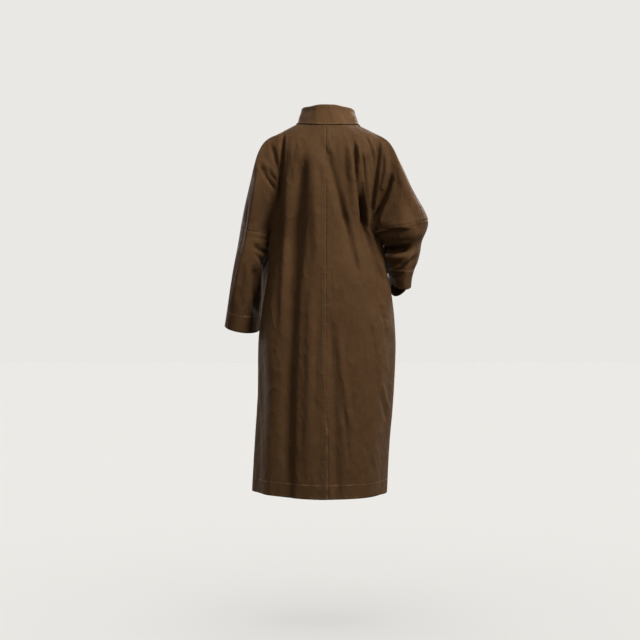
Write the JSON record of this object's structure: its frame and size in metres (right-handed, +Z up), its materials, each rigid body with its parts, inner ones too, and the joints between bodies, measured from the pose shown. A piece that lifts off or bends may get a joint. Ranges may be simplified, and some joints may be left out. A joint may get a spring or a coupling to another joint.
{
  "type": "duster coat",
  "caption": "Long unbelted duster coat with a stand collar, sleeves cut in one with the body and a back vent, in its worn shape.",
  "frame": {"origin": "in the middle of the neck opening, level with the neck seam at centre back, where the coat rests on its wearer", "axes": "+Z up along the coat's length, -Y towards the coat's front, +X towards the wearer's left"},
  "size_m": [0.6318, 0.3201, 1.1909],
  "materials": {
    "coat_cotton": "matt brown cotton twill",
    "collar_cotton": "matt brown cotton twill, interlined",
    "button_horn": "dark brown horn-like resin"
  },
  "bodies": {
    "root": {"back_left": "coat_cotton", "back_right": "coat_cotton", "front_left": "coat_cotton", "front_right": "coat_cotton", "sleeve_left_back": "coat_cotton", "sleeve_left_front": "coat_cotton", "sleeve_right_back": "coat_cotton", "sleeve_right_front": "coat_cotton", "back_vent_underlap": "coat_cotton", "collar": "collar_cotton", "button_1": "button_horn", "button_2": "button_horn", "button_3": "button_horn", "button_4": "button_horn", "button_5": "button_horn"}
  },
  "joints": []
}
